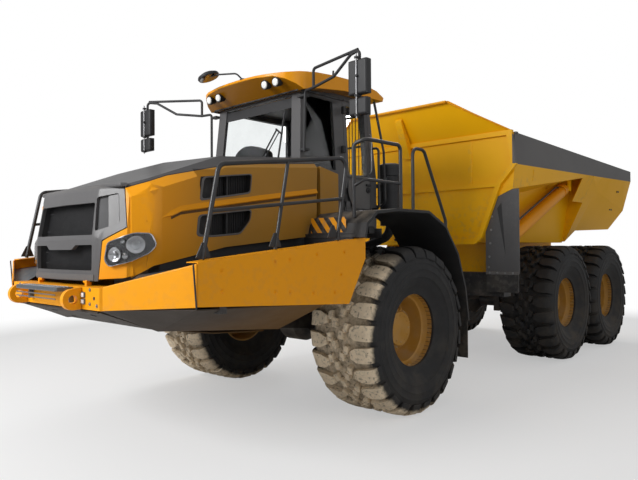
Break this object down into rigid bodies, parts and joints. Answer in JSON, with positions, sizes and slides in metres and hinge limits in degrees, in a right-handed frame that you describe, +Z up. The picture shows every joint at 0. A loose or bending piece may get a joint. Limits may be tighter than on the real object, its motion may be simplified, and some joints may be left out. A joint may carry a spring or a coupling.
{
  "type": "articulated dump truck",
  "caption": "Articulated dump truck: cab and engine unit hinged to a rear frame with a hollow tipping load bed on rubber-tyred wheels",
  "frame": {"origin": "on the ground, in the middle of the truck's width and length", "axes": "+X to the truck's left, +Y to its rear (the front faces -Y), +Z up"},
  "size_m": [3.8, 11.396, 4.0399],
  "materials": {
    "yellow_paint": "gloss",
    "grey_paint": "satin",
    "black_paint": "satin",
    "black_plastic": "matte",
    "rim_paint": "satin",
    "tyre_rubber": "matte",
    "tinted_glass": "gloss",
    "bare_steel": "satin",
    "chrome_rod": "polished",
    "lamp_lens": "gloss",
    "seat_cloth": "matte"
  },
  "bodies": {
    "front_unit": {"front_rails": "black_paint", "front_crossmembers": "black_paint", "front_head": "black_paint", "cab_subframe": "black_paint", "front_axle": "black_paint", "engine_block": "bare_steel", "bumper": "yellow_paint", "front_step": "black_paint", "belly_guard": "black_paint", "corner_panels": "yellow_paint", "side_panels": "yellow_paint", "decks": "black_paint", "mudguards": "black_plastic", "ladder": "black_paint", "handrails_left": "black_paint", "handrail_right": "black_paint", "cab_shell": "grey_paint", "cab_glass": "tinted_glass", "cab_roof": "yellow_paint", "seat": "seat_cloth", "dash_console": "black_plastic", "cowl_panels": "yellow_paint", "air_cleaner": "black_plastic", "mirrors": "black_plastic", "grab_rails": "black_paint"},
    "hood": {"hood_shell": "yellow_paint", "hood_mask": "grey_paint", "grilles": "black_plastic", "headlamps": "lamp_lens"},
    "cab_door": {"door_frame": "grey_paint", "door_glass": "tinted_glass"},
    "hitch": {"hitch_casting": "black_paint"},
    "rear_unit": {"rear_neck": "black_paint", "rear_rails": "black_paint", "rear_crossmembers": "black_paint", "walking_beams": "black_paint", "rear_axles": "black_paint"},
    "dump_bed": {"bed_shell": "yellow_paint", "bed_shields": "grey_paint"},
    "wheel_front_left": {"tyre_front_left": "tyre_rubber", "rim_front_left": "rim_paint"},
    "wheel_front_right": {"tyre_front_right": "tyre_rubber", "rim_front_right": "rim_paint"},
    "wheel_mid_left": {"tyre_mid_left": "tyre_rubber", "rim_mid_left": "rim_paint"},
    "wheel_mid_right": {"tyre_mid_right": "tyre_rubber", "rim_mid_right": "rim_paint"},
    "wheel_rear_left": {"tyre_rear_left": "tyre_rubber", "rim_rear_left": "rim_paint"},
    "wheel_rear_right": {"tyre_rear_right": "tyre_rubber", "rim_rear_right": "rim_paint"},
    "hoist_barrel_left": {"hoist_barrel_left": "yellow_paint"},
    "hoist_rod_left": {"hoist_rod_left": "chrome_rod"},
    "steer_barrel_left": {"steer_barrel_left": "yellow_paint"},
    "steer_rod_left": {"steer_rod_left": "chrome_rod"},
    "hoist_barrel_right": {"hoist_barrel_right": "yellow_paint"},
    "hoist_rod_right": {"hoist_rod_right": "chrome_rod"},
    "steer_barrel_right": {"steer_barrel_right": "yellow_paint"},
    "steer_rod_right": {"steer_rod_right": "chrome_rod"}
  },
  "joints": [
    {"name": "steer", "type": "hinge", "parent": "front_unit", "child": "hitch", "pos_m": [0, -0.72, 1.05], "axis": [0, 0, 1], "range_deg": [-42, 42]},
    {"name": "oscillate", "type": "hinge", "parent": "hitch", "child": "rear_unit", "pos_m": [0, -0.378, 1.05], "axis": [0, 1, 0], "range_deg": [-15, 15]},
    {"name": "bed_tip", "type": "hinge", "parent": "rear_unit", "child": "dump_bed", "pos_m": [0, 4.672, 1.8], "axis": [-1, 0, 0], "range_deg": [0, 70]},
    {"name": "hood_tilt", "type": "hinge", "parent": "front_unit", "child": "hood", "pos_m": [0, -5.428, 1.575], "axis": [1, 0, 0], "range_deg": [0, 62]},
    {"name": "door_swing", "type": "hinge", "parent": "front_unit", "child": "cab_door", "pos_m": [0.816, -2.276, 2.6], "axis": [0, 0, -1], "range_deg": [0, 75]},
    {"name": "roll_front_left", "type": "hinge", "parent": "front_unit", "child": "wheel_front_left", "pos_m": [1.4575, -2.278, 0.9375], "axis": [1, 0, 0], "continuous": true},
    {"name": "roll_front_right", "type": "hinge", "parent": "front_unit", "child": "wheel_front_right", "pos_m": [-1.4575, -2.278, 0.9375], "axis": [1, 0, 0], "continuous": true},
    {"name": "roll_mid_left", "type": "hinge", "parent": "rear_unit", "child": "wheel_mid_left", "pos_m": [1.4575, 2.16, 0.9375], "axis": [1, 0, 0], "continuous": true},
    {"name": "roll_mid_right", "type": "hinge", "parent": "rear_unit", "child": "wheel_mid_right", "pos_m": [-1.4575, 2.16, 0.9375], "axis": [1, 0, 0], "continuous": true},
    {"name": "roll_rear_left", "type": "hinge", "parent": "rear_unit", "child": "wheel_rear_left", "pos_m": [1.4575, 4.11, 0.9375], "axis": [1, 0, 0], "continuous": true},
    {"name": "roll_rear_right", "type": "hinge", "parent": "rear_unit", "child": "wheel_rear_right", "pos_m": [-1.4575, 4.11, 0.9375], "axis": [1, 0, 0], "continuous": true},
    {"name": "hoist_pivot_left", "type": "hinge", "parent": "rear_unit", "child": "hoist_barrel_left", "pos_m": [1.5, 0.442, 1.87], "axis": [1, 0, 0], "range_deg": [-5, 5]},
    {"name": "hoist_slide_left", "type": "slide", "parent": "hoist_barrel_left", "child": "hoist_rod_left", "axis": [0, 0.9235, 0.3836], "range_m": [0, 2.3812]},
    {"name": "steer_pivot_left", "type": "hinge", "parent": "front_unit", "child": "steer_barrel_left", "pos_m": [0.6, -1.87, 1.05], "axis": [0, 0, 1], "range_deg": [-10, 10]},
    {"name": "steer_slide_left", "type": "slide", "parent": "steer_barrel_left", "child": "steer_rod_left", "axis": [-0.0688, 0.9976, 0], "range_m": [-0.42, 0.42]},
    {"name": "hoist_pivot_right", "type": "hinge", "parent": "rear_unit", "child": "hoist_barrel_right", "pos_m": [-1.5, 0.442, 1.87], "axis": [1, 0, 0], "range_deg": [-5, 5]},
    {"name": "hoist_slide_right", "type": "slide", "parent": "hoist_barrel_right", "child": "hoist_rod_right", "axis": [0, 0.9235, 0.3836], "range_m": [0, 2.3812]},
    {"name": "steer_pivot_right", "type": "hinge", "parent": "front_unit", "child": "steer_barrel_right", "pos_m": [-0.6, -1.87, 1.05], "axis": [0, 0, 1], "range_deg": [-10, 10]},
    {"name": "steer_slide_right", "type": "slide", "parent": "steer_barrel_right", "child": "steer_rod_right", "axis": [0.0688, 0.9976, 0], "range_m": [-0.42, 0.42]}
  ],
  "couplings": [
    {"joint": "hoist_pivot_left", "follows": "bed_tip", "ratio": 0.00197},
    {"joint": "hoist_slide_left", "follows": "bed_tip", "m_per_rad": 1.9408},
    {"joint": "steer_pivot_left", "follows": "steer", "ratio": 0.14977},
    {"joint": "steer_slide_left", "follows": "steer", "m_per_rad": 0.49238},
    {"joint": "hoist_pivot_right", "follows": "bed_tip", "ratio": 0.00197},
    {"joint": "hoist_slide_right", "follows": "bed_tip", "m_per_rad": 1.9408},
    {"joint": "steer_pivot_right", "follows": "steer", "ratio": 0.14977},
    {"joint": "steer_slide_right", "follows": "steer", "m_per_rad": -0.49238}
  ]
}
